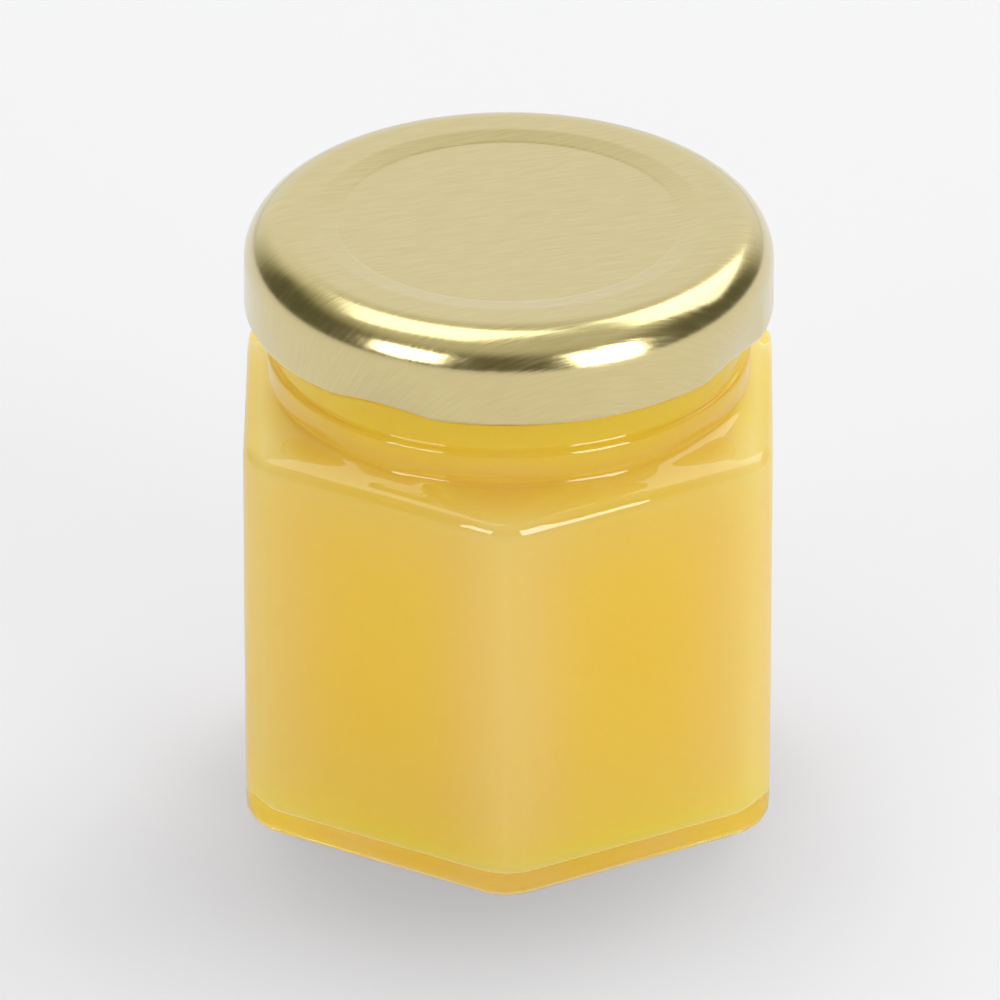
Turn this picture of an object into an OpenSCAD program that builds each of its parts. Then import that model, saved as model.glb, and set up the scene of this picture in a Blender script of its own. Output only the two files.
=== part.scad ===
// Small hexagonal glass jar of honey, closed with a gold twist-off lid.
// Millimetres, +Z up. The origin is at the middle of the base, on the surface the jar stands on.
// One corner of the hexagon points to the front, which is -Y.

/* [Body] */
// Width of the hexagonal body across two opposite flat sides
across_flats = 45.9; // [40:0.1:56]
// Radius of the upright corners between the sides
corner_r = 4.6; // [3.2:0.1:6]
// How much narrower the body is at the heel than half way up, all told
draft = 0.15; // [0:0.05:0.6]
// Height at which the sides start to turn in to the shoulder
body_h = 36; // [28:0.1:60]
// Radius of the turn from the sides to the shoulder
edge_r = 1.4; // [1:0.1:2]
// Radius of the heel, between the sides and the base
heel_r = 2.2; // [1.6:0.1:2.6]
// Thickness of the glass in the sides and the shoulder
wall = 2.2; // [1.8:0.1:2.8]
// Thickness of the glass in the base
base_t = 2; // [1.6:0.1:4]
// Radius between the floor and the sides, inside
floor_r = 1.5; // [0.8:0.1:2]
// Width of the flat ring on which the jar stands
foot_w = 2.4; // [1.5:0.1:4]
// Rise of the hollow in the middle of the base
push_up = 0.8; // [0.4:0.1:1.4]

/* [Neck] */
// Height of the shoulder, from the top of the sides to the bead
shoulder_h = 3.1; // [2.8:0.1:7]
// Height of the bead, the plain band below the lid
bead_h = 2.8; // [2:0.1:4]
// How far the bead stands out from the neck
bead_out = 0.6; // [0.3:0.05:1]
// Radius of the bead's two edges
bead_r = 0.5; // [0.3:0.05:0.9]
// Outer diameter of the neck
neck_d = 41; // [36:0.1:50]
// Height of the neck, from the bead to the rim
neck_h = 11.65; // [10:0.05:16]
// Thickness of the glass in the neck
neck_wall = 2.5; // [2:0.1:3.2]
// Radius of the rounding on the outside of the rim
rim_out_r = 1.3; // [0.8:0.1:1.5]
// Radius of the rounding on the inside of the rim
rim_in_r = 0.6; // [0.3:0.1:0.9]

/* [Honey] */
// Distance of the honey's surface below the rim
headspace = 3.4; // [2:0.1:9]

/* [Lid] */
// Thickness of the tinplate
tin_t = 0.25; // [0.2:0.01:0.4]
// Room between the neck and the skirt of the lid, for the lugs
skirt_gap = 2.25; // [2:0.05:3]
// Height of the lid
lid_h = 8.4; // [7:0.1:9.5]
// Outer radius of the lid's rounded top edge
lid_edge_r = 3.8; // [3:0.1:4.6]
// Diameter of the sunken panel in the middle
panel_d = 29.8; // [24:0.1:30]
// Depth of the sunken panel
panel_depth = 0.3; // [0.2:0.05:0.8]
// Width of the slope round the sunken panel
panel_slope = 2; // [1.2:0.1:2.2]
// Radius of the curl, the wire-like hem at the foot of the skirt
curl_r = 0.65; // [0.5:0.05:0.8]
// Number of lugs, where the curl is pressed in to grip the neck
lug_count = 4; // [3:1:6]
// Turn of the first lug from the front
lug_turn = -29; // [-45:0.5:45]
// Width of a pressed-in stretch at its top
lug_w = 8; // [5:0.5:10]
// Slope of its two ends, measured along the skirt
lug_ramp = 2.2; // [1:0.1:3]
// Height by which the curl is pressed up there
lug_rise = 0.45; // [0.2:0.05:0.6]

/* [Hidden] */

// Intervals in each ring of points: across one upright corner and along one side
CORNER_STEPS = 6;
SIDE_STEPS = 5;
// Intervals in a quarter round
TURN_STEPS = 4;
// Intervals up the slope of the shoulder
SLOPE_STEPS = 5;
// Rings across the hollow in the base
DOME_STEPS = 4;
// Corner of the hexagon that points to the front, and the angles between corners
FRONT = -90;
SIXTH = 60;
HALF_SIXTH = SIXTH / 2;
// Angle through which the sides turn in to the shoulder, and the cut of the bead's edges
EDGE_TURN = 60;
BEAD_TURN = 45;

// Heights of the glass, from the surface it stands on
bead_z = body_h + shoulder_h;
bead_top = bead_z + bead_h;
rim_z = bead_top + neck_h;
fill_z = rim_z - headspace;
waist_z = body_h / 2;

// Distances from the middle to a side, and radii of the round parts
half_w = across_flats / 2;
neck_r = neck_d / 2;
bead_rad = neck_r + bead_out;
bore_r = neck_r - neck_wall;
foot_half = half_w - draft / 2 - heel_r;
hollow_r = foot_half - foot_w;
edge_in = edge_r * (1 - cos(EDGE_TURN));
bead_in = bead_r * (1 - cos(BEAD_TURN));

// Distances from the middle to the inside of a side, and from there to where the floor starts
in_half = half_w - wall;
in_corner = corner_r - wall;
in_floor = in_half - floor_r - draft / 2;

// The lid is worked out from the rim it rests on and the neck it goes round. It is wide enough for both
// the room round the neck and a rounded edge that starts no further in than the flat of the rim.
lid_top = rim_z + tin_t;
lid_z = lid_top - lid_h;
lid_r = max(neck_r + skirt_gap + tin_t, neck_r - rim_out_r + lid_edge_r);

// A size is one level of the glass: [distance to a side, corner radius, height].
// A corner radius as large as the distance to a side makes the level a circle.
function level(half, corner, z) = [half, min(corner, half), z];
function mixed(a, b, t) = a + (b - a) * t;

// How much of its way in the shoulder has come at a share of its height. Outside it goes on inwards from the
// rounded edge and rises to the neck; inside it also leaves the upright wall softly.
swept = function (t) sin(90 * t);
eased = function (t) (1 - cos(180 * t)) / 2;

// Distance from the middle to a level's outline, at an angle from the nearest corner
function reach(lv, off) =
    let (
        half = lv[0],
        corner = lv[1],
        centre = (half - corner) / cos(HALF_SIXTH),
        ends = atan2(corner * sin(HALF_SIXTH), centre + corner * cos(HALF_SIXTH))
    )
    off < ends
        ? centre * cos(off) + sqrt(corner * corner - pow(centre * sin(off), 2))
        : half / cos(HALF_SIXTH - off);

// Angle that one rounded upright corner of the body takes up, to either side of its middle
corner_angle = atan2(
    corner_r * sin(HALF_SIXTH),
    (half_w - corner_r) / cos(HALF_SIXTH) + corner_r * cos(HALF_SIXTH)
);

// Angles from a corner at which each ring has its points: close together on the corner
OFFSETS = concat(
    [for (i = [0 : CORNER_STEPS - 1]) mixed(-corner_angle, corner_angle, i / CORNER_STEPS)],
    [for (i = [0 : SIDE_STEPS - 1]) mixed(corner_angle, SIXTH - corner_angle, i / SIDE_STEPS)]
);
ANGLES = [for (k = [0 : 5]) for (off = OFFSETS) k * SIXTH + off];
RING = len(ANGLES);

function from_corner(a) = abs(a - SIXTH * round(a / SIXTH));
function ring(lv) = [
    for (a = ANGLES)
        let (r = reach(lv, from_corner(a)))
        [r * cos(FRONT + a), r * sin(FRONT + a), lv[2]]
];

// Skin over a stack of levels, each one ring of points, closed at both ends. The diagonals go the same
// way whether the levels are taken upwards or downwards, so that two skins over the same levels meet.
module stack(levels) {
    last = len(levels) - 1;
    points = [for (lv = levels) each ring(lv)];
    sides = [
        for (i = [0 : last - 1])
            for (j = [0 : RING - 1])
                let (
                    k = (j + 1) % RING,
                    here = i * RING,
                    next = here + RING,
                    rising = levels[i + 1][2] > levels[i][2]
                )
                each rising
                    ? [[here + j, next + k, here + k], [here + j, next + j, next + k]]
                    : [[here + j, next + j, here + k], [here + k, next + j, next + k]]
    ];
    first_cap = [for (j = [0 : RING - 1]) j];
    last_cap = [for (j = [RING - 1 : -1 : 0]) last * RING + j];
    polyhedron(points, concat([first_cap], sides, [last_cap]), convexity = 10);
}

// Rings over a shallow dome, from near its middle outwards
function dome(half, rise, z) = [
    for (i = [0 : DOME_STEPS - 1])
        let (t = (i + 1) / (DOME_STEPS + 1), r = half * t)
        level(r, r, z + rise * (1 - t * t))
];

// Outside, from the hollow in the base to the rim. The body narrows a little from half way up down.
outside_levels = concat(
    dome(hollow_r, push_up, 0),
    [level(hollow_r, hollow_r, 0)],
    [
        for (i = [0 : TURN_STEPS])
            let (a = 90 * i / TURN_STEPS)
            level(foot_half + heel_r * sin(a), corner_r - heel_r * (1 - sin(a)), heel_r * (1 - cos(a)))
    ],
    [level(half_w, corner_r, waist_z)],
    [
        for (i = [0 : TURN_STEPS - 1])
            let (a = EDGE_TURN * i / (TURN_STEPS - 1), in = edge_r * (1 - cos(a)))
            level(half_w - in, corner_r - in, body_h + edge_r * sin(a))
    ],
    slope(half_w - edge_in, corner_r - edge_in, body_h + edge_r * sin(EDGE_TURN), neck_r, bead_z, swept),
    [
        level(bead_rad - bead_in, bead_rad, bead_z + bead_in),
        level(bead_rad, bead_rad, bead_z + bead_r),
        level(bead_rad, bead_rad, bead_top - bead_r),
        level(bead_rad - bead_in, bead_rad, bead_top - bead_in),
        level(neck_r, neck_r, bead_top)
    ],
    [
        for (i = [0 : TURN_STEPS])
            let (a = 90 * i / TURN_STEPS, r = neck_r - rim_out_r * (1 - cos(a)))
            level(r, r, rim_z - rim_out_r * (1 - sin(a)))
    ]
);

// The shoulder turns from a hexagon to a circle on its way up
function slope(half, corner, z, r, top_z, rule) = [
    for (i = [1 : SLOPE_STEPS])
        let (t = i / SLOPE_STEPS, in = rule(t))
        level(mixed(half, r, in), mixed(corner, r, in), mixed(z, top_z, t))
];

// Inside, from the middle of the floor up to where the bore becomes straight
inside_levels = concat(
    dome(in_floor, push_up, base_t),
    [
        for (i = [0 : TURN_STEPS])
            let (a = 90 * i / TURN_STEPS, corner = max(in_corner - floor_r * (1 - sin(a)), 0))
            level(in_floor + floor_r * sin(a), corner, base_t + floor_r * (1 - cos(a)))
    ],
    [level(in_half, in_corner, waist_z)],
    [level(in_half, in_corner, body_h - wall / 2)],
    slope(in_half, in_corner, body_h - wall / 2, bore_r, bead_z, eased)
);
bore_levels = [
    for (i = [0 : TURN_STEPS - 1])
        let (a = 90 * i / (TURN_STEPS - 1), r = bore_r + rim_in_r * (1 - cos(a)))
        level(r, r, rim_z - rim_in_r * (1 - sin(a)))
];
fill_level = [level(bore_r, bore_r, fill_z)];

function backwards(list) = [for (i = [len(list) - 1 : -1 : 0]) list[i]];

// The glass, as one skin that goes up the outside, over the rim and down the inside
module jar() {
    color([0.86, 0.92, 0.9, 0.45])
        stack(concat(outside_levels, backwards(bore_levels), backwards(inside_levels)));
}

// The honey, which fills the inside of the glass up to its level
module honey() {
    color([0.89, 0.72, 0.26])
        stack(concat(inside_levels, fill_level));
}

// Half section of the lid's outline, filled, and moved in by the given thickness
module lid_outline(inset) {
    panel_r = panel_d / 2;
    edge_x = lid_r - lid_edge_r;
    edge_z = lid_top - lid_edge_r;
    top = lid_top - inset;
    difference() {
        union() {
            translate([0, lid_z + curl_r])
                square([edge_x, top - lid_z - curl_r]);
            translate([0, lid_z + curl_r])
                square([lid_r - inset, edge_z - lid_z - curl_r]);
            translate([edge_x, edge_z])
                intersection() {
                    circle(r = lid_edge_r - inset, $fn = 96);
                    square(lid_edge_r);
                }
        }
        polygon([
            [-1, top - panel_depth],
            [panel_r, top - panel_depth],
            [panel_r + panel_slope, top],
            [panel_r + panel_slope, lid_top + 1],
            [-1, lid_top + 1]
        ]);
    }
}

// Half section of the tinplate: the sunken panel, its slope, the rounded edge, the skirt and its curl
module tin_section() {
    difference() {
        lid_outline(0);
        lid_outline(tin_t);
    }
    translate([lid_r - curl_r, lid_z + curl_r])
        circle(r = curl_r, $fn = 48);
}

// Wedge that takes away the bottom of the curl where it is pressed in over a lug
module lug_press() {
    rotate([0, 0, FRONT + lug_turn])
        translate([neck_r, 0, 0])
            rotate([90, 0, 90])
                linear_extrude(lid_r)
                    polygon([
                        [-lug_w / 2 - lug_ramp, lid_z - lug_rise],
                        [-lug_w / 2 - lug_ramp, lid_z],
                        [-lug_w / 2, lid_z + lug_rise],
                        [lug_w / 2, lid_z + lug_rise],
                        [lug_w / 2 + lug_ramp, lid_z],
                        [lug_w / 2 + lug_ramp, lid_z - lug_rise]
                    ]);
}

// The lid, pressed from one sheet of tinplate
module lid() {
    color([0.8, 0.75, 0.55])
        difference() {
            rotate_extrude($fn = 180)
                tin_section();
            for (i = [0 : lug_count - 1])
                rotate([0, 0, 360 * i / lug_count])
                    lug_press();
        }
}

jar();
honey();
lid();
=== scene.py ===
# %% [markdown]
# # A jar of honey
#
# A small hexagonal glass jar, filled with pale honey and closed with a gold twist-off lid. The lesson makes
# three pieces, the glass, the honey and the lid, gives each its material, and then sets up a small studio.
# The sizes come from the frame, which holds the jar's construction: each piece here takes the place of one
# of its solids and keeps to the same outline, only smoother and with a finer finish.

# %% Load the frame
import math

import bmesh
import bpy
from mathutils import Matrix, Vector


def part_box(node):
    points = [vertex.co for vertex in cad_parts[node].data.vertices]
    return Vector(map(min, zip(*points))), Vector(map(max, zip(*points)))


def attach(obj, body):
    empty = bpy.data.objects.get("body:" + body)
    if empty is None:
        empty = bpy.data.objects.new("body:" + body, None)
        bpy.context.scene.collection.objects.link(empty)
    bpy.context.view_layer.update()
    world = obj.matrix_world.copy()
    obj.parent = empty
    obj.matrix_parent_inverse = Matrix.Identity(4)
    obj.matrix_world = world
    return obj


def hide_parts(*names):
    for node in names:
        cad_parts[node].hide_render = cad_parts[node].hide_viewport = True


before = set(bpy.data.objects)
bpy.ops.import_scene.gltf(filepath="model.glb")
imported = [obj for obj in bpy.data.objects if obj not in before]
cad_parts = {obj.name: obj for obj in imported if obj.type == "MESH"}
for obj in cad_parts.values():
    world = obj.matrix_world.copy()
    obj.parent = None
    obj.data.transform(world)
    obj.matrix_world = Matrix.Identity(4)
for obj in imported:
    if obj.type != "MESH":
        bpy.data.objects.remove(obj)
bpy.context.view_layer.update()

MM = 0.001
jar_low, jar_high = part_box("jar")
honey_low, honey_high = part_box("honey")
lid_low, lid_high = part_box("lid")
print("nodes:", sorted(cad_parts))

# %% [markdown]
# ## Sizes
#
# The frame gives the outside of each piece. What it doesn't give are the radii and walls in between, so they
# are named here once, as a mould maker would list them, and everything else is worked out from them.

# %% Sizes of the glass
RIM_Z = jar_high[2]
HALF_W = jar_high[0]
CORNER_R = 4.6 * MM
DRAFT = 0.15 * MM
HEEL_R = 2.2 * MM
FLOOR_R = 1.5 * MM
FOOT_W = 2.4 * MM
PUSH_UP = 0.8 * MM
EDGE_R = 1.4 * MM
BODY_Z = 36 * MM
BEAD_Z = 39.1 * MM
BEAD_H = 2.8 * MM
BEAD_OUT = 0.6 * MM
BEAD_R = 0.5 * MM
BEAD_FILLET = 0.35 * MM
NECK_R = 20.5 * MM
RIM_OUT_R = 1.3 * MM
RIM_IN_R = 0.6 * MM
NECK_WALL = 2.5 * MM

HONEY_HALF = honey_high[0]
FLOOR_Z = honey_low[2]
FILL_Z = honey_high[2]
WALL = HALF_W - HONEY_HALF
BORE_R = NECK_R - NECK_WALL
print(f"glass: {2 * HALF_W / MM:.1f} mm across the flats, {RIM_Z / MM:.1f} mm high, wall {WALL / MM:.1f} mm")

# %% Sizes of the lid
LID_R = lid_high[0]
LID_TOP = lid_high[2]
LID_Z = lid_low[2]
TIN = LID_TOP - RIM_Z
LID_EDGE_R = 3.8 * MM
PANEL_R = 14.9 * MM
PANEL_DEPTH = 0.3 * MM
PANEL_SLOPE = 2.0 * MM
FOOT_RUN = 0.15 * MM
FOOT_SHARE = 0.2
PANEL_HOLD = 0.3 * MM
FOOT_HOLD = 0.05 * MM
FOOT_LIFT = 0.02
RING_HOLD_IN = 0.2 * MM
RING_HOLD_OUT = 0.8 * MM
CURL_R = 0.65 * MM
LUG_COUNT = 4
LUG_TURN = math.radians(-29)
LUG_HALF = math.radians(12.5)
LUG_RISE = 0.2 * MM
print(f"lid: {2 * LID_R / MM:.1f} mm wide, {(LID_TOP - LID_Z) / MM:.1f} mm high, sheet {TIN / MM:.2f} mm")

# %% [markdown]
# ## The outline of the glass
#
# Seen from above, the body is a hexagon with rounded corners and the neck is a circle. Both are the same
# shape with another corner radius: a hexagon whose corner radius is as large as its half width is a circle.
# So one ring of vertices can climb the whole jar. It starts as a real hexagon whose corners are bevelled,
# and each level above is an extrusion of the ring's edges, whose vertices then move in or out to the outline.

# %% Outline helpers
def reach(half, corner, angle):
    """Distance from the middle to a hexagon with rounded corners, one of which points to -Y."""
    sixth = math.pi / 3
    off = (angle + math.pi / 2) % sixth
    off = min(off, sixth - off)
    centre = (half - corner) / math.cos(sixth / 2)
    ends = math.atan2(corner * math.sin(sixth / 2), centre + corner * math.cos(sixth / 2))
    if off < ends:
        return centre * math.cos(off) + math.sqrt(corner**2 - (centre * math.sin(off)) ** 2)
    return half / math.cos(sixth / 2 - off)


def place_ring(verts, half, corner, z):
    """Move a ring of vertices to the outline of one level, each along its own direction."""
    corner = min(corner, half)
    for v in verts:
        angle = math.atan2(v.co.y, v.co.x)
        r = reach(half, corner, angle)
        v.co = Vector((r * math.cos(angle), r * math.sin(angle), z))


def turn(half, corner, z, r_side, r_up, start, end, steps):
    """Levels round part of a circle about the given size. At 0 degrees the skin is upright, at 90 level."""
    levels = []
    for i in range(steps + 1):
        a = math.radians(start + (end - start) * i / steps)
        shift = r_side * math.cos(a)
        levels.append((half + shift, corner + shift, z + r_up * math.sin(a)))
    return levels


def swept(t):
    """Outside, the shoulder goes on inwards from the rounded edge and then rises to the neck."""
    return math.sin(math.pi / 2 * t)


def eased(t):
    """Inside, it also leaves the upright wall softly."""
    return (1 - math.cos(math.pi * t)) / 2


def climb(first, last, steps, rule):
    """Levels of the shoulder. The rule gives how much of its way in it has come at a share of its height."""
    levels = []
    for i in range(1, steps + 1):
        t = i / steps
        half, corner = (a + (b - a) * rule(t) for a, b in zip(first[:2], last[:2]))
        levels.append((half, corner, first[2] + (last[2] - first[2]) * t))
    return levels


def straight(first, last, steps):
    """Levels from one size to another, closer together near both ends, so that shading stays flat between."""
    levels = []
    for i in range(1, steps + 1):
        t = (1 - math.cos(math.pi * i / steps)) / 2
        levels.append(tuple(a + (b - a) * t for a, b in zip(first, last)))
    return levels


def dome(half, rise, z, steps):
    """Levels over a shallow dome, from near its middle outwards."""
    return [(half * i / steps, half, z + rise * (1 - (i / steps) ** 2)) for i in range(1, steps + 1)]


# %% [markdown]
# The levels of the outside and of the inside are two short lists, put together from turns, straights and
# climbs. The glass goes up the outside, over the rim and down the inside, so it is one closed skin with a
# true wall, which is what lets it bend light like glass. The honey uses the inside's levels again.
#
# The shoulder is one climb: the hexagon shrinks while its corner radius grows, until the two are equal and
# the ring is the neck's circle. The bead's edges and fillets are small turns that meet each other smoothly,
# so that the glints along them run on without a break.

# %% Levels of the outside and the inside
TURN_STEPS = 8
DOME_STEPS = 6
WALL_STEPS = 5
SHOULDER_STEPS = 12
SHOULDER_STEPS_IN = 16
BEAD_STEPS = 5
NECK_STEPS = 6
RIM_STEPS = 4
EDGE_END = 60

foot_half = HALF_W - DRAFT / 2 - HEEL_R
heel = turn(foot_half, CORNER_R - HEEL_R, HEEL_R, HEEL_R, HEEL_R, -90, 0, TURN_STEPS)
edge = turn(HALF_W - EDGE_R, CORNER_R - EDGE_R, BODY_Z, EDGE_R, EDGE_R, 0, EDGE_END, TURN_STEPS)
bead_rad = NECK_R + BEAD_OUT
bead_top = BEAD_Z + BEAD_H
bead_turn = math.degrees(math.acos(1 - BEAD_OUT / (BEAD_R + BEAD_FILLET)))
bead_in = (bead_rad - BEAD_R, bead_rad - BEAD_R)
bead_low_edge = turn(*bead_in, BEAD_Z + BEAD_R, BEAD_R, BEAD_R, -bead_turn, 0, BEAD_STEPS)
bead_high_edge = turn(*bead_in, bead_top - BEAD_R, BEAD_R, BEAD_R, 0, bead_turn, BEAD_STEPS)
fillet_z = (BEAD_R + BEAD_FILLET) * math.sin(math.radians(bead_turn)) - BEAD_R
fillet_in = (NECK_R + BEAD_FILLET, NECK_R + BEAD_FILLET)
fillet = (BEAD_FILLET, BEAD_FILLET)
fillet_low = turn(*fillet_in, BEAD_Z - fillet_z, *fillet, 180, 180 - bead_turn, BEAD_STEPS)
fillet_high = turn(*fillet_in, bead_top + fillet_z, *fillet, 180 + bead_turn, 180, BEAD_STEPS)
rim_out = turn(NECK_R - RIM_OUT_R, NECK_R, RIM_Z - RIM_OUT_R, RIM_OUT_R, RIM_OUT_R, 0, 90, TURN_STEPS)
waist = (HALF_W, CORNER_R, BODY_Z / 2)
outside = (
    dome(foot_half - FOOT_W, PUSH_UP, 0, DOME_STEPS)
    + heel
    + straight(heel[-1], waist, WALL_STEPS)
    + straight(waist, edge[0], WALL_STEPS)
    + edge[1:]
    + climb(edge[-1], fillet_low[0], SHOULDER_STEPS, swept)
    + fillet_low[1:]
    + bead_low_edge[1:]
    + straight(bead_low_edge[-1], bead_high_edge[0], 3)
    + bead_high_edge[1:]
    + fillet_high[1:]
    + straight(fillet_high[-1], rim_out[0], NECK_STEPS)
    + rim_out[1:]
)


def inside_levels(grow):
    """The inside of the glass, moved into the wall by the given distance."""
    corner = CORNER_R - WALL
    low = HONEY_HALF - DRAFT / 2 - FLOOR_R
    turned = FLOOR_R + grow
    heel_in = turn(low, corner - FLOOR_R, FLOOR_Z + FLOOR_R, turned, turned, -90, 0, TURN_STEPS)
    top = (HONEY_HALF + grow, corner + grow, BODY_Z - WALL / 2)
    middle = (HONEY_HALF + grow, corner + grow, BODY_Z / 2)
    bore = BORE_R + grow
    return (
        dome(low, PUSH_UP, FLOOR_Z - grow, DOME_STEPS)[:-1]
        + heel_in
        + straight(heel_in[-1], middle, WALL_STEPS)
        + straight(middle, top, WALL_STEPS)
        + climb(top, (bore, bore, BEAD_Z), SHOULDER_STEPS_IN, eased)
    )


rim_in = [
    (BORE_R + RIM_IN_R * (1 - math.cos(a)), BORE_R + RIM_IN_R, RIM_Z - RIM_IN_R * (1 - math.sin(a)))
    for a in (math.radians(90 * i / RIM_STEPS) for i in range(RIM_STEPS + 1))
]
print(f"levels: {len(outside)} outside, {len(inside_levels(0))} inside")

# %% [markdown]
# ## Building a skin
#
# The first ring is a six-sided circle. Bevelling its vertices rounds the corners, and cutting the long edges
# gives the sides enough points to become part of a circle further up.

# %% Skin helper
CORNER_SEGMENTS = 14
SIDE_CUTS = 15


def start_ring(bm, half, corner, z):
    """A ring of edges in the shape of the first level."""
    across = half / math.cos(math.pi / 6)
    turn_to_front = Matrix.Rotation(math.radians(-90), 4, "Z")
    made = bmesh.ops.create_circle(bm, cap_ends=True, segments=6, radius=across, matrix=turn_to_front)
    verts = made["verts"]
    bmesh.ops.bevel(
        bm,
        geom=verts,
        offset=corner_share(half) * across,
        offset_type="OFFSET",
        segments=CORNER_SEGMENTS,
        profile=0.5,
        affect="VERTICES",
        material=-1,
    )
    longest = max(e.calc_length() for e in bm.edges)
    sides = [e for e in bm.edges if e.calc_length() > 0.9 * longest]
    bmesh.ops.subdivide_edges(bm, edges=sides, cuts=SIDE_CUTS)
    place_ring(bm.verts, half, corner, z)
    bmesh.ops.delete(bm, geom=list(bm.faces), context="FACES_ONLY")
    return list(bm.edges)


def corner_share(half):
    """Share of a hexagon's side that the jar's rounded corner takes up."""
    return CORNER_R * math.tan(math.pi / 6) / (HALF_W / math.cos(math.pi / 6))


def skin(name, levels):
    """A closed skin over a stack of levels, as a new object."""
    bm = bmesh.new()
    ring = start_ring(bm, *levels[0])
    first = list(ring)
    for half, corner, z in levels[1:]:
        made = bmesh.ops.extrude_edge_only(bm, edges=ring)["geom"]
        ring = [g for g in made if isinstance(g, bmesh.types.BMEdge)]
        place_ring([g for g in made if isinstance(g, bmesh.types.BMVert)], half, corner, z)
    for ends in (first, ring):
        bmesh.ops.edgeloop_fill(bm, edges=ends)
    bmesh.ops.recalc_face_normals(bm, faces=bm.faces)
    return finish_mesh(bm, name)


def finish_mesh(bm, name):
    """Turn a bmesh into a smooth-shaded object that sits at the origin."""
    mesh = bpy.data.meshes.new(name)
    bm.to_mesh(mesh)
    bm.free()
    mesh.shade_smooth()
    piece = bpy.data.objects.new(name, mesh)
    bpy.context.scene.collection.objects.link(piece)
    triangles = sum(len(p.vertices) - 2 for p in mesh.polygons)
    print(f"{name}: {triangles} triangles")
    return piece


# %% The glass jar
inside = inside_levels(0)
glass = skin("glass_jar", outside + rim_in[::-1] + inside[::-1])

# %% [markdown]
# ## The honey
#
# The honey fills the glass up to its level. If its surface only met the glass, light would find a thin gap of
# air between the two and the honey would look silvery. So the honey is a little larger than the inside and
# reaches just into the wall, and the eye sees glass and honey joined, as when honey wets the glass.

# %% The honey
INTO_WALL = 0.08 * MM
honey_levels = inside_levels(INTO_WALL) + straight(
    (BORE_R + INTO_WALL, BORE_R, BEAD_Z), (BORE_R + INTO_WALL, BORE_R, FILL_Z), 3
)
honey = skin("honey_fill", honey_levels)

# %% [markdown]
# The honey isn't the same all over. A paler tone is painted along the upright corners, near its foot and just
# under the shoulder, as a painted reflection of the bright room in the glass. Underneath, a stronger painted
# glow stands in for the light that comes through the honey itself. Both are stored as one number per vertex
# for the material to read.

# %% Where the honey gets its painted reflection and its painted glow
# Where and how strongly the painted reflection and the painted glow are laid on the honey.
REFLECTION_REACH = 5.0 * MM
REFLECTION_FOOT = 8.5 * MM
REFLECTION_TOP = BODY_Z
REFLECTION_FADE = 5.5 * MM
REFLECTION_EVEN = 0.2
REFLECTION_LOW = 0.6
REFLECTION_HIGH = 0.5
REFLECTION_CORNER_FOOT = 0.4
GLOW_FALL = 6
GLOW_LOW = 0.4
GLOW_REACH = 4.5 * MM


def mark_painted_reflection(piece):
    """Store how much painted reflection each vertex gets, most near an upright corner, the foot and the
    shoulder.
    """
    painted_reflection = piece.data.attributes.new("painted_reflection", "FLOAT", "POINT")
    sixth = math.pi / 3
    for v, value in zip(piece.data.vertices, painted_reflection.data):
        off = (math.atan2(v.co.y, v.co.x) + math.pi / 2) % sixth
        away = min(off, sixth - off) * HALF_W
        corner = math.exp(-((away / REFLECTION_REACH) ** 2))
        rising = min(max((v.co.z - FLOOR_Z) / REFLECTION_REACH, 0), 1)
        low = REFLECTION_LOW * rising * math.exp(-((v.co.z / REFLECTION_FOOT) ** 2))
        high = REFLECTION_HIGH * math.exp(-(((REFLECTION_TOP - v.co.z) / REFLECTION_REACH) ** 2))
        below = min(max((REFLECTION_TOP + REFLECTION_FADE - v.co.z) / REFLECTION_FADE, 0), 1)
        corner *= REFLECTION_CORNER_FOOT + (1 - REFLECTION_CORNER_FOOT) * rising
        value.value = below * (1 - (1 - REFLECTION_EVEN) * (1 - corner) * (1 - low) * (1 - high))


def mark_underside(piece):
    """Store how far each vertex faces down or how low it lies, where the painted glow is stronger."""
    under = piece.data.attributes.new("under", "FLOAT", "POINT")
    for v, value in zip(piece.data.vertices, under.data):
        lowest = GLOW_LOW * math.exp(-(((v.co.z - FLOOR_Z) / GLOW_REACH) ** 2))
        value.value = max(max(-v.normal.z, 0) ** GLOW_FALL, lowest)


mark_painted_reflection(honey)
mark_underside(honey)
print("honey attributes:", [a.name for a in honey.data.attributes if a.name in ("painted_reflection", "under")])

# %% [markdown]
# ## The lid
#
# A twist-off lid is pressed from one sheet of tinplate: a sunken panel, a flat ring, a rounded edge, a
# skirt and a curl at the foot. That is a round shape, so its half section is drawn once and spun. The
# section is closed, out along the top and back along the underside, so the sheet has its real thickness.

# %% Half section of the lid
ARC_STEPS = 20
CURL_STEPS = 24
SLOPE_STEPS = 12


def arc(cx, cz, r, start, end, steps):
    """Points on a circle in the XZ plane, by angle in degrees from +X."""
    angles = (math.radians(start + (end - start) * i / steps) for i in range(steps + 1))
    return [(cx + r * math.cos(a), cz + r * math.sin(a)) for a in angles]


def panel_to_edge(inset):
    """The top side of the sheet, or its underside, from the middle out to the foot of the skirt."""
    top = LID_TOP - inset
    low = top - PANEL_DEPTH
    edge_x = LID_R - LID_EDGE_R
    points = [(0, low), (PANEL_R * 0.6, low), (PANEL_R - PANEL_HOLD, low)]
    points += slope_points(low, top)
    points += [(PANEL_R + PANEL_SLOPE + RING_HOLD_IN, top), (edge_x - RING_HOLD_OUT, top)]
    points += arc(edge_x, LID_TOP - LID_EDGE_R, LID_EDGE_R - inset, 90, 0, ARC_STEPS)
    return points


def slope_points(low, top):
    """The slope round the sunken panel: a short steep step at its foot, then an even rise."""
    points = [(PANEL_R - FOOT_HOLD, low), (PANEL_R, low + FOOT_LIFT * (top - low))]
    for i in range(SLOPE_STEPS + 1):
        t = i / SLOPE_STEPS
        lift = FOOT_SHARE + (1 - FOOT_SHARE) * t
        points.append((PANEL_R + FOOT_RUN + (PANEL_SLOPE - FOOT_RUN) * t, low + (top - low) * lift))
    return points


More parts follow.
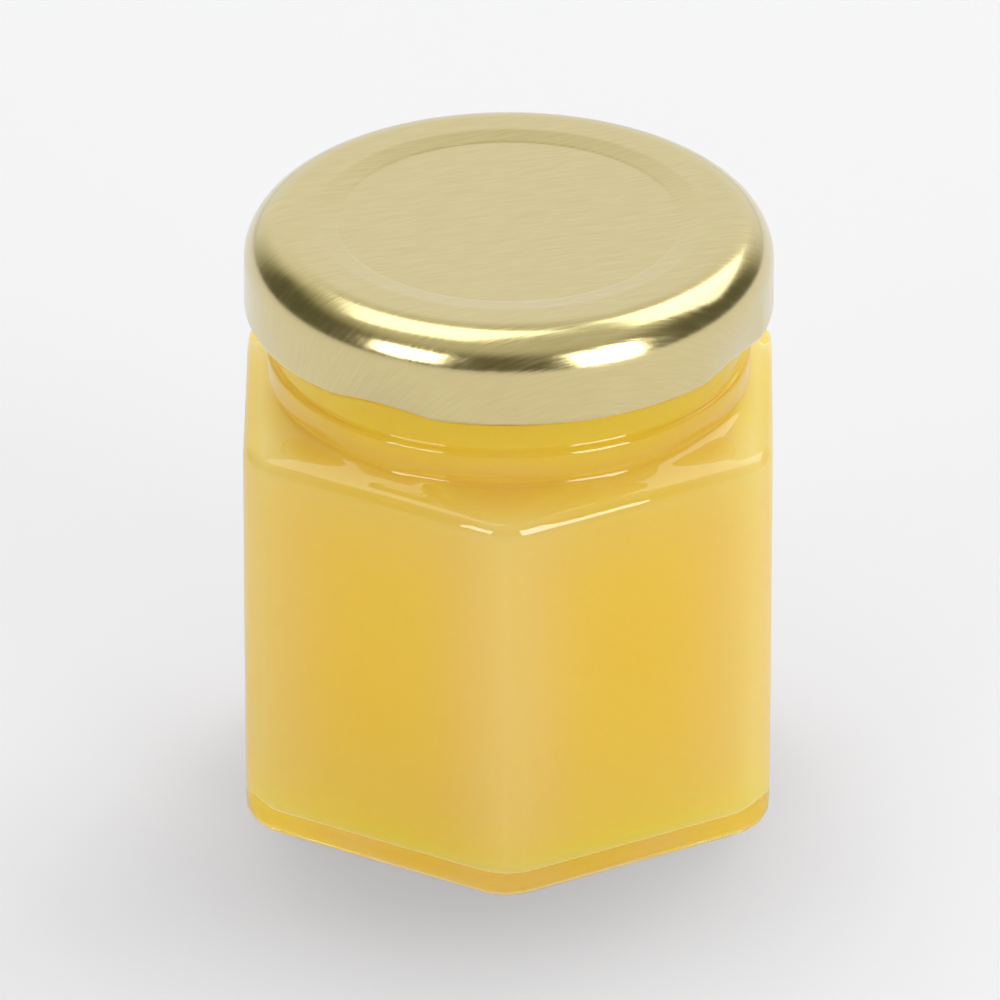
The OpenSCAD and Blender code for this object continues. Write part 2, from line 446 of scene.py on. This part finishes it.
curl = arc(LID_R - CURL_R, LID_Z + CURL_R, CURL_R, 0, -270, CURL_STEPS)
section = panel_to_edge(0) + curl + [(LID_R - TIN, LID_Z + 2 * CURL_R)] + panel_to_edge(TIN)[::-1]
print(f"lid section: {len(section)} points")

# %% [markdown]
# The spin makes the round shape. The lugs come after it: over four short stretches the curl is pressed up
# and in to grip the screw ridges of the glass, which shows as four shallow flats along the foot of the skirt.
#
# Each vertex also remembers where it was on the flat sheet: its length along the section is its distance
# from the middle. The brushed strokes are laid out on that flat sheet and so bend down over the edge with it.

# %% Spin and press
SPIN_STEPS = 256
PRESS_HEIGHT = 3.2 * CURL_R
MERGE = 0.001 * MM


def lug_flat(angle):
    """How deep a pressed stretch lies inside the round foot, as it runs straight from end to end."""
    step = 2 * math.pi / LUG_COUNT
    off = (angle + math.pi / 2 - LUG_TURN + step / 2) % step - step / 2
    return max(LID_R * (1 - math.cos(LUG_HALF) / math.cos(off)), 0)


def sheet_run():
    """Length along the sheet from its middle to each point of the section, the same above and below."""
    runs = [0.0]
    for a, b in zip(section, section[1:]):
        runs.append(runs[-1] + math.dist(a, b))
    return [min(run, runs[-1] - run) for run in runs]


def unroll(piece):
    """Store where each vertex was on the flat sheet, before the lid was pressed from it."""
    run = piece.data.attributes["run"]
    lengths = [r.value for r in run.data]
    flat = piece.data.attributes.new("sheet", "FLOAT_VECTOR", "POINT")
    for v, length, place in zip(piece.data.vertices, lengths, flat.data):
        place.vector = length * Vector((v.co.x, v.co.y, 0)).normalized()


def make_lid():
    bm = bmesh.new()
    run = bm.verts.layers.float.new("run")
    line = [bm.verts.new((x, 0, z)) for x, z in section]
    for v, length in zip(line, sheet_run()):
        v[run] = length
    edges = [bm.edges.new(pair) for pair in zip(line, line[1:])]
    bmesh.ops.spin(
        bm,
        geom=line + edges,
        cent=(0, 0, 0),
        axis=(0, 0, 1),
        angle=2 * math.pi,
        steps=SPIN_STEPS,
        use_merge=True,
    )
    bmesh.ops.remove_doubles(bm, verts=bm.verts, dist=MERGE)
    bmesh.ops.recalc_face_normals(bm, faces=bm.faces)
    deepest = LID_R * (1 - math.cos(LUG_HALF))
    for v in bm.verts:
        r = math.hypot(v.co.x, v.co.y)
        near_foot = min(max(1 - (v.co.z - LID_Z) / PRESS_HEIGHT, 0), 1)
        if near_foot and r > NECK_R:
            depth = eased(near_foot) * lug_flat(math.atan2(v.co.y, v.co.x))
            v.co.z += LUG_RISE * depth / deepest
            v.co.xy *= 1 - depth / r
    piece = finish_mesh(bm, "tin_lid")
    unroll(piece)
    return piece


lid = make_lid()

# %% [markdown]
# ## Materials
#
# One small function adds a node, with its settings and its links. Colours are written as the hex values that
# a paint chart gives and turned to linear light, which is what the shaders work in.

# %% Node and colour helpers
def linear(hex_colour):
    """An sRGB hex colour as linear red, green, blue and alpha."""
    parts = (int(hex_colour[i : i + 2], 16) / 255 for i in (1, 3, 5))
    return tuple(c / 12.92 if c <= 0.04045 else ((c + 0.055) / 1.055) ** 2.4 for c in parts) + (1.0,)


def add(tree, kind, inputs=None, **settings):
    """Add a node. Inputs are numbers and colours to set, or sockets to link."""
    node = tree.nodes.new(kind)
    for name, value in settings.items():
        setattr(node, name, value)
    for name, value in (inputs or {}).items():
        if isinstance(value, bpy.types.NodeSocket):
            tree.links.new(value, node.inputs[name])
        else:
            node.inputs[name].default_value = value
    return node


def new_material(name):
    """An empty material and its node tree."""
    material = bpy.data.materials.new(name)
    material.use_nodes = True
    material.node_tree.nodes.clear()
    return material, material.node_tree


# %% [markdown]
# ### Soda-lime container glass
#
# Clear glass has an IOR of about 1.52 and almost no roughness. Its faces aren't quite flat, because they were
# blown against a mould, and that shows as wavy edges on the highlights: a very soft bump. For the rays from
# the lamps the glass is simply clear, so that the light reaches the honey without grain.

# %% Glass material
def container_glass():
    material, tree = new_material("soda_lime_glass")
    place = add(tree, "ShaderNodeTexCoord").outputs["Object"]
    waves = add(tree, "ShaderNodeTexNoise", {"Vector": place, "Scale": 1 / (9 * MM), "Detail": 1.0})
    bump = add(
        tree,
        "ShaderNodeBump",
        {"Height": waves.outputs["Fac"], "Strength": 0.25, "Distance": 0.15 * MM},
    )
    glass_shader = add(
        tree,
        "ShaderNodeBsdfPrincipled",
        {
            "Base Color": linear("#FAFBF8"),
            "Roughness": 0.0,
            "IOR": 1.52,
            "Transmission Weight": 1.0,
            "Normal": bump.outputs["Normal"],
        },
    )
    clear = add(tree, "ShaderNodeBsdfTransparent", {"Color": linear("#F4F4EF")})
    rays = add(tree, "ShaderNodeLightPath")
    mix = add(tree, "ShaderNodeMixShader", {"Fac": rays.outputs["Is Shadow Ray"]})
    tree.links.new(glass_shader.outputs[0], mix.inputs[1])
    tree.links.new(clear.outputs[0], mix.inputs[2])
    add(tree, "ShaderNodeOutputMaterial", {"Surface": mix.outputs[0]})
    return material


# %% [markdown]
# ### Honey
#
# Pale set honey is cloudy: light goes a few millimetres in, scatters on fine crystals and comes out again,
# red furthest and blue least. Subsurface scattering does just that. Slow clouds vary the colour a little.
# A paler tone is mixed in as a painted reflection of the bright room in the glass. A mild painted glow stands
# in for the light that travels right through the jar.
# The honey has no shine of its own, because it wets the glass: what shines is the glass in front of it.

# %% Honey material
def set_honey():
    material, tree = new_material("set_honey")
    place = add(tree, "ShaderNodeTexCoord").outputs["Object"]
    clouds = add(tree, "ShaderNodeTexNoise", {"Vector": place, "Scale": 1 / (14 * MM), "Detail": 2.0})
    tint = add(tree, "ShaderNodeMix", {"Factor": clouds.outputs["Fac"]}, data_type="RGBA")
    tint.inputs[6].default_value = linear("#F9CE14")
    tint.inputs[7].default_value = linear("#FDDB28")
    # Painted reflection: a paler tone stands in for the bright room mirrored in the glass.
    corner = add(tree, "ShaderNodeAttribute", attribute_name="painted_reflection")
    pale_reflection_mix = add(tree, "ShaderNodeMix", {"Factor": corner.outputs["Fac"]}, data_type="RGBA")
    tree.links.new(tint.outputs[2], pale_reflection_mix.inputs[6])
    pale_reflection_mix.inputs[7].default_value = linear("#F4D07A")
    # Painted glow: emission that stands in for light coming through the honey, stronger underneath.
    under = add(tree, "ShaderNodeAttribute", attribute_name="under")
    glow = add(tree, "ShaderNodeMix", {"Factor": under.outputs["Fac"]}, data_type="RGBA")
    glow.inputs[6].default_value = linear("#80631A")
    glow.inputs[7].default_value = linear("#99711A")
    shader = add(
        tree,
        "ShaderNodeBsdfPrincipled",
        {
            "Base Color": pale_reflection_mix.outputs[2],
            "Roughness": 0.5,
            "Specular IOR Level": 0.0,
            "Subsurface Weight": 1.0,
            "Subsurface Radius": (1.0, 0.95, 0.6),
            "Subsurface Scale": 15 * MM,
            "Emission Color": glow.outputs[2],
            "Emission Strength": 1.0,
        },
    )
    add(tree, "ShaderNodeOutputMaterial", {"Surface": shader.outputs[0]})
    return material


# %% [markdown]
# ### Brushed tinplate under gold lacquer
#
# The sheet is brushed before it is pressed, so fine straight strokes run across the whole lid. Noise that is
# long one way and thin the other makes them; it varies the tone, the roughness and a very low bump. The
# clear lacquer on top is a coat, and it is what turns grazing edges white instead of gold.

# %% Lid material
STROKE_TURN = math.radians(20)
STROKE_LONG = 4 * MM
STROKE_WIDE = 0.25 * MM


def gold_tinplate():
    material, tree = new_material("gold_lacquered_tinplate")
    sheet = add(tree, "ShaderNodeAttribute", attribute_name="sheet")
    along = add(
        tree,
        "ShaderNodeMapping",
        {
            "Vector": sheet.outputs["Vector"],
            "Rotation": (0, 0, STROKE_TURN),
            "Scale": (STROKE_LONG, STROKE_WIDE, 1),
        },
        vector_type="TEXTURE",
    )
    strokes = add(
        tree,
        "ShaderNodeTexNoise",
        {"Vector": along.outputs[0], "Scale": 1.0, "Detail": 2.0, "Roughness": 0.7},
        noise_dimensions="2D",
    )
    colour = add(tree, "ShaderNodeMix", {"Factor": strokes.outputs["Fac"]}, data_type="RGBA")
    colour.inputs[6].default_value = linear("#DCC88C")
    colour.inputs[7].default_value = linear("#EEDEA8")
    rough = add(
        tree,
        "ShaderNodeMapRange",
        {"Value": strokes.outputs["Fac"], "From Min": 0.25, "From Max": 0.75, "To Min": 0.15, "To Max": 0.24},
    )
    bump = add(
        tree,
        "ShaderNodeBump",
        {"Height": strokes.outputs["Fac"], "Strength": 0.38, "Distance": 0.02 * MM},
    )
    shader = add(
        tree,
        "ShaderNodeBsdfPrincipled",
        {
            "Base Color": colour.outputs[2],
            "Metallic": 1.0,
            "Roughness": rough.outputs[0],
            "Normal": bump.outputs["Normal"],
            "Coat Weight": 1.0,
            "Coat IOR": 1.5,
            "Coat Roughness": 0.12,
        },
    )
    add(tree, "ShaderNodeOutputMaterial", {"Surface": shader.outputs[0]})
    return material


# %% Give each piece its material and its place in the frame
for piece, material, node, slot in (
    (glass, container_glass(), "jar", "glass"),
    (honey, set_honey(), "honey", "honey"),
    (lid, gold_tinplate(), "lid", "tinplate"),
):
    piece.data.materials.append(material)
    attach(piece, "root")
    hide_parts(node)

for piece in (glass, honey):
    piece.visible_diffuse = False

# %% [markdown]
# ## The studio
#
# A white table, a bright surround behind and above, and dark walls on the camera's side. The dark walls draw
# the dark band on the lid's rounded edge. Metal and glass mirror the room, so the lamps come in two kinds.
# Keys and fills give the light. Streaks are only there to be mirrored: they make the two white streaks on
# the lid's edge and the bright lines on the glass.

# %% Floor
def white_table():
    bm = bmesh.new()
    just_below = Matrix.Translation((0, 0, -0.02 * MM))
    bmesh.ops.create_grid(bm, x_segments=1, y_segments=1, size=8.0, matrix=just_below)
    floor = finish_mesh(bm, "table")
    material, tree = new_material("white_card")
    rays = add(tree, "ShaderNodeLightPath")
    tone = add(tree, "ShaderNodeMix", {"Factor": rays.outputs["Is Camera Ray"]}, data_type="RGBA")
    tone.inputs[6].default_value = linear("#E2E2DE")
    tone.inputs[7].default_value = linear("#F0F0F1")
    shader = add(tree, "ShaderNodeBsdfDiffuse", {"Color": tone.outputs[2]})
    add(tree, "ShaderNodeOutputMaterial", {"Surface": shader.outputs[0]})
    floor.data.materials.append(material)


white_table()


# %% Surround
DARK_WALL = 0.11
BACKDROP = 0.8
CEILING = 0.56
WALL_WARM = 0.6


def surround():
    world = bpy.data.worlds.new("studio")
    bpy.context.scene.world = world
    world.use_nodes = True
    tree = world.node_tree
    tree.nodes.clear()
    place = add(tree, "ShaderNodeTexCoord").outputs["Generated"]
    way = add(tree, "ShaderNodeSeparateXYZ", {"Vector": place})
    level = add(tree, "ShaderNodeCombineXYZ", {"X": way.outputs["X"], "Y": way.outputs["Y"]})
    heading = add(tree, "ShaderNodeVectorMath", {0: level.outputs[0]}, operation="NORMALIZE")
    back_share = add(tree, "ShaderNodeSeparateXYZ", {"Vector": heading.outputs[0]})
    backdrop = add(
        tree,
        "ShaderNodeMapRange",
        {"Value": back_share.outputs["Y"], "From Min": 0.57, "From Max": 0.94},
        interpolation_type="SMOOTHSTEP",
    )
    backdrop.inputs["To Min"].default_value = DARK_WALL
    backdrop.inputs["To Max"].default_value = BACKDROP
    above = add(
        tree,
        "ShaderNodeMapRange",
        {"Value": way.outputs["Z"], "From Min": 0.5, "From Max": 0.85, "To Min": 0.0, "To Max": 1.0},
        interpolation_type="SMOOTHSTEP",
    )
    strength = add(
        tree, "ShaderNodeMix", {"Factor": above.outputs[0], "A": backdrop.outputs[0], "B": CEILING}
    )
    warmth = add(tree, "ShaderNodeMix", {"Factor": strength.outputs[0], "A": WALL_WARM, "B": 1.0})
    rays = add(tree, "ShaderNodeLightPath")
    blue = add(
        tree, "ShaderNodeMix", {"Factor": rays.outputs["Is Glossy Ray"], "A": 1.0, "B": warmth.outputs[0]}
    )
    colour = add(tree, "ShaderNodeCombineColor", {"Red": 1.0, "Green": 1.0, "Blue": blue.outputs[0]})
    background = add(
        tree, "ShaderNodeBackground", {"Strength": strength.outputs[0], "Color": colour.outputs[0]}
    )
    add(tree, "ShaderNodeOutputWorld", {"Surface": background.outputs[0]})


surround()


# %% Softboxes
LAMPS_AWAY = 2.0
STREAKS_AWAY = 1.8


def softbox(name, azimuth, elevation, width, height, power, mirrored=True, lighting=True):
    """An area lamp that looks at the jar. Azimuth 0 is the front, -Y, and grows towards +X."""
    distance = LAMPS_AWAY if lighting else STREAKS_AWAY
    a, e = math.radians(azimuth), math.radians(elevation)
    target = Vector((0, 0, 25 * MM))
    toward = Vector((math.sin(a) * math.cos(e), -math.cos(a) * math.cos(e), math.sin(e)))
    place = target + distance * toward
    data = bpy.data.lights.new(name, "AREA")
    data.shape = "RECTANGLE"
    data.size = width
    data.size_y = height
    data.energy = power
    lamp = bpy.data.objects.new(name, data)
    lamp.location = place
    lamp.rotation_euler = (target - place).to_track_quat("-Z", "Y").to_euler()
    lamp.visible_glossy = mirrored
    lamp.visible_diffuse = lighting
    bpy.context.scene.collection.objects.link(lamp)


softbox("key_over", -150, 76, 1.3, 1.3, 5.0, mirrored=False)
softbox("key_right", 128, 47, 1.33, 1.3, 9.3)
softbox("key_behind", 176, 66, 1.33, 1.33, 13.0, mirrored=False)
softbox("fill_right", 43.5, 21, 0.97, 1.67, 7.4, mirrored=False)
softbox("fill_left", -43.5, 21, 0.97, 1.0, 4.6, mirrored=False)
softbox("streak_over", -125, 72, 1.17, 1.17, 6.6, lighting=False)
softbox("streak_right", 43.5, 18, 0.82, 1.1, 23, lighting=False)
softbox("streak_left", -43.5, 21, 0.82, 0.74, 12, lighting=False)

# %% [markdown]
# ## The camera
#
# A product shot from far away with a long lens, looking down at about 28 degrees, so that upright edges
# stay almost parallel.

# %% Camera
CAMERA_ELEVATION = math.radians(28.385)
CAMERA_TURN = math.radians(0.481)
CAMERA_DISTANCE = 1.689
CAMERA_LENS = 696.2
CAMERA_TARGET = Vector((-0.761, 0, 26.053)) * MM


def camera():
    data = bpy.data.cameras.new("camera")
    data.lens = CAMERA_LENS
    data.sensor_width = 36
    data.clip_end = 100
    eye = bpy.data.objects.new("camera", data)
    back = Vector(
        (
            math.sin(CAMERA_TURN) * math.cos(CAMERA_ELEVATION),
            -math.cos(CAMERA_TURN) * math.cos(CAMERA_ELEVATION),
            math.sin(CAMERA_ELEVATION),
        )
    )
    eye.location = CAMERA_TARGET + CAMERA_DISTANCE * back
    eye.rotation_euler = (-back).to_track_quat("-Z", "Y").to_euler()
    bpy.context.scene.collection.objects.link(eye)
    bpy.context.scene.camera = eye


camera()
bpy.context.scene.view_settings.view_transform = "Standard"
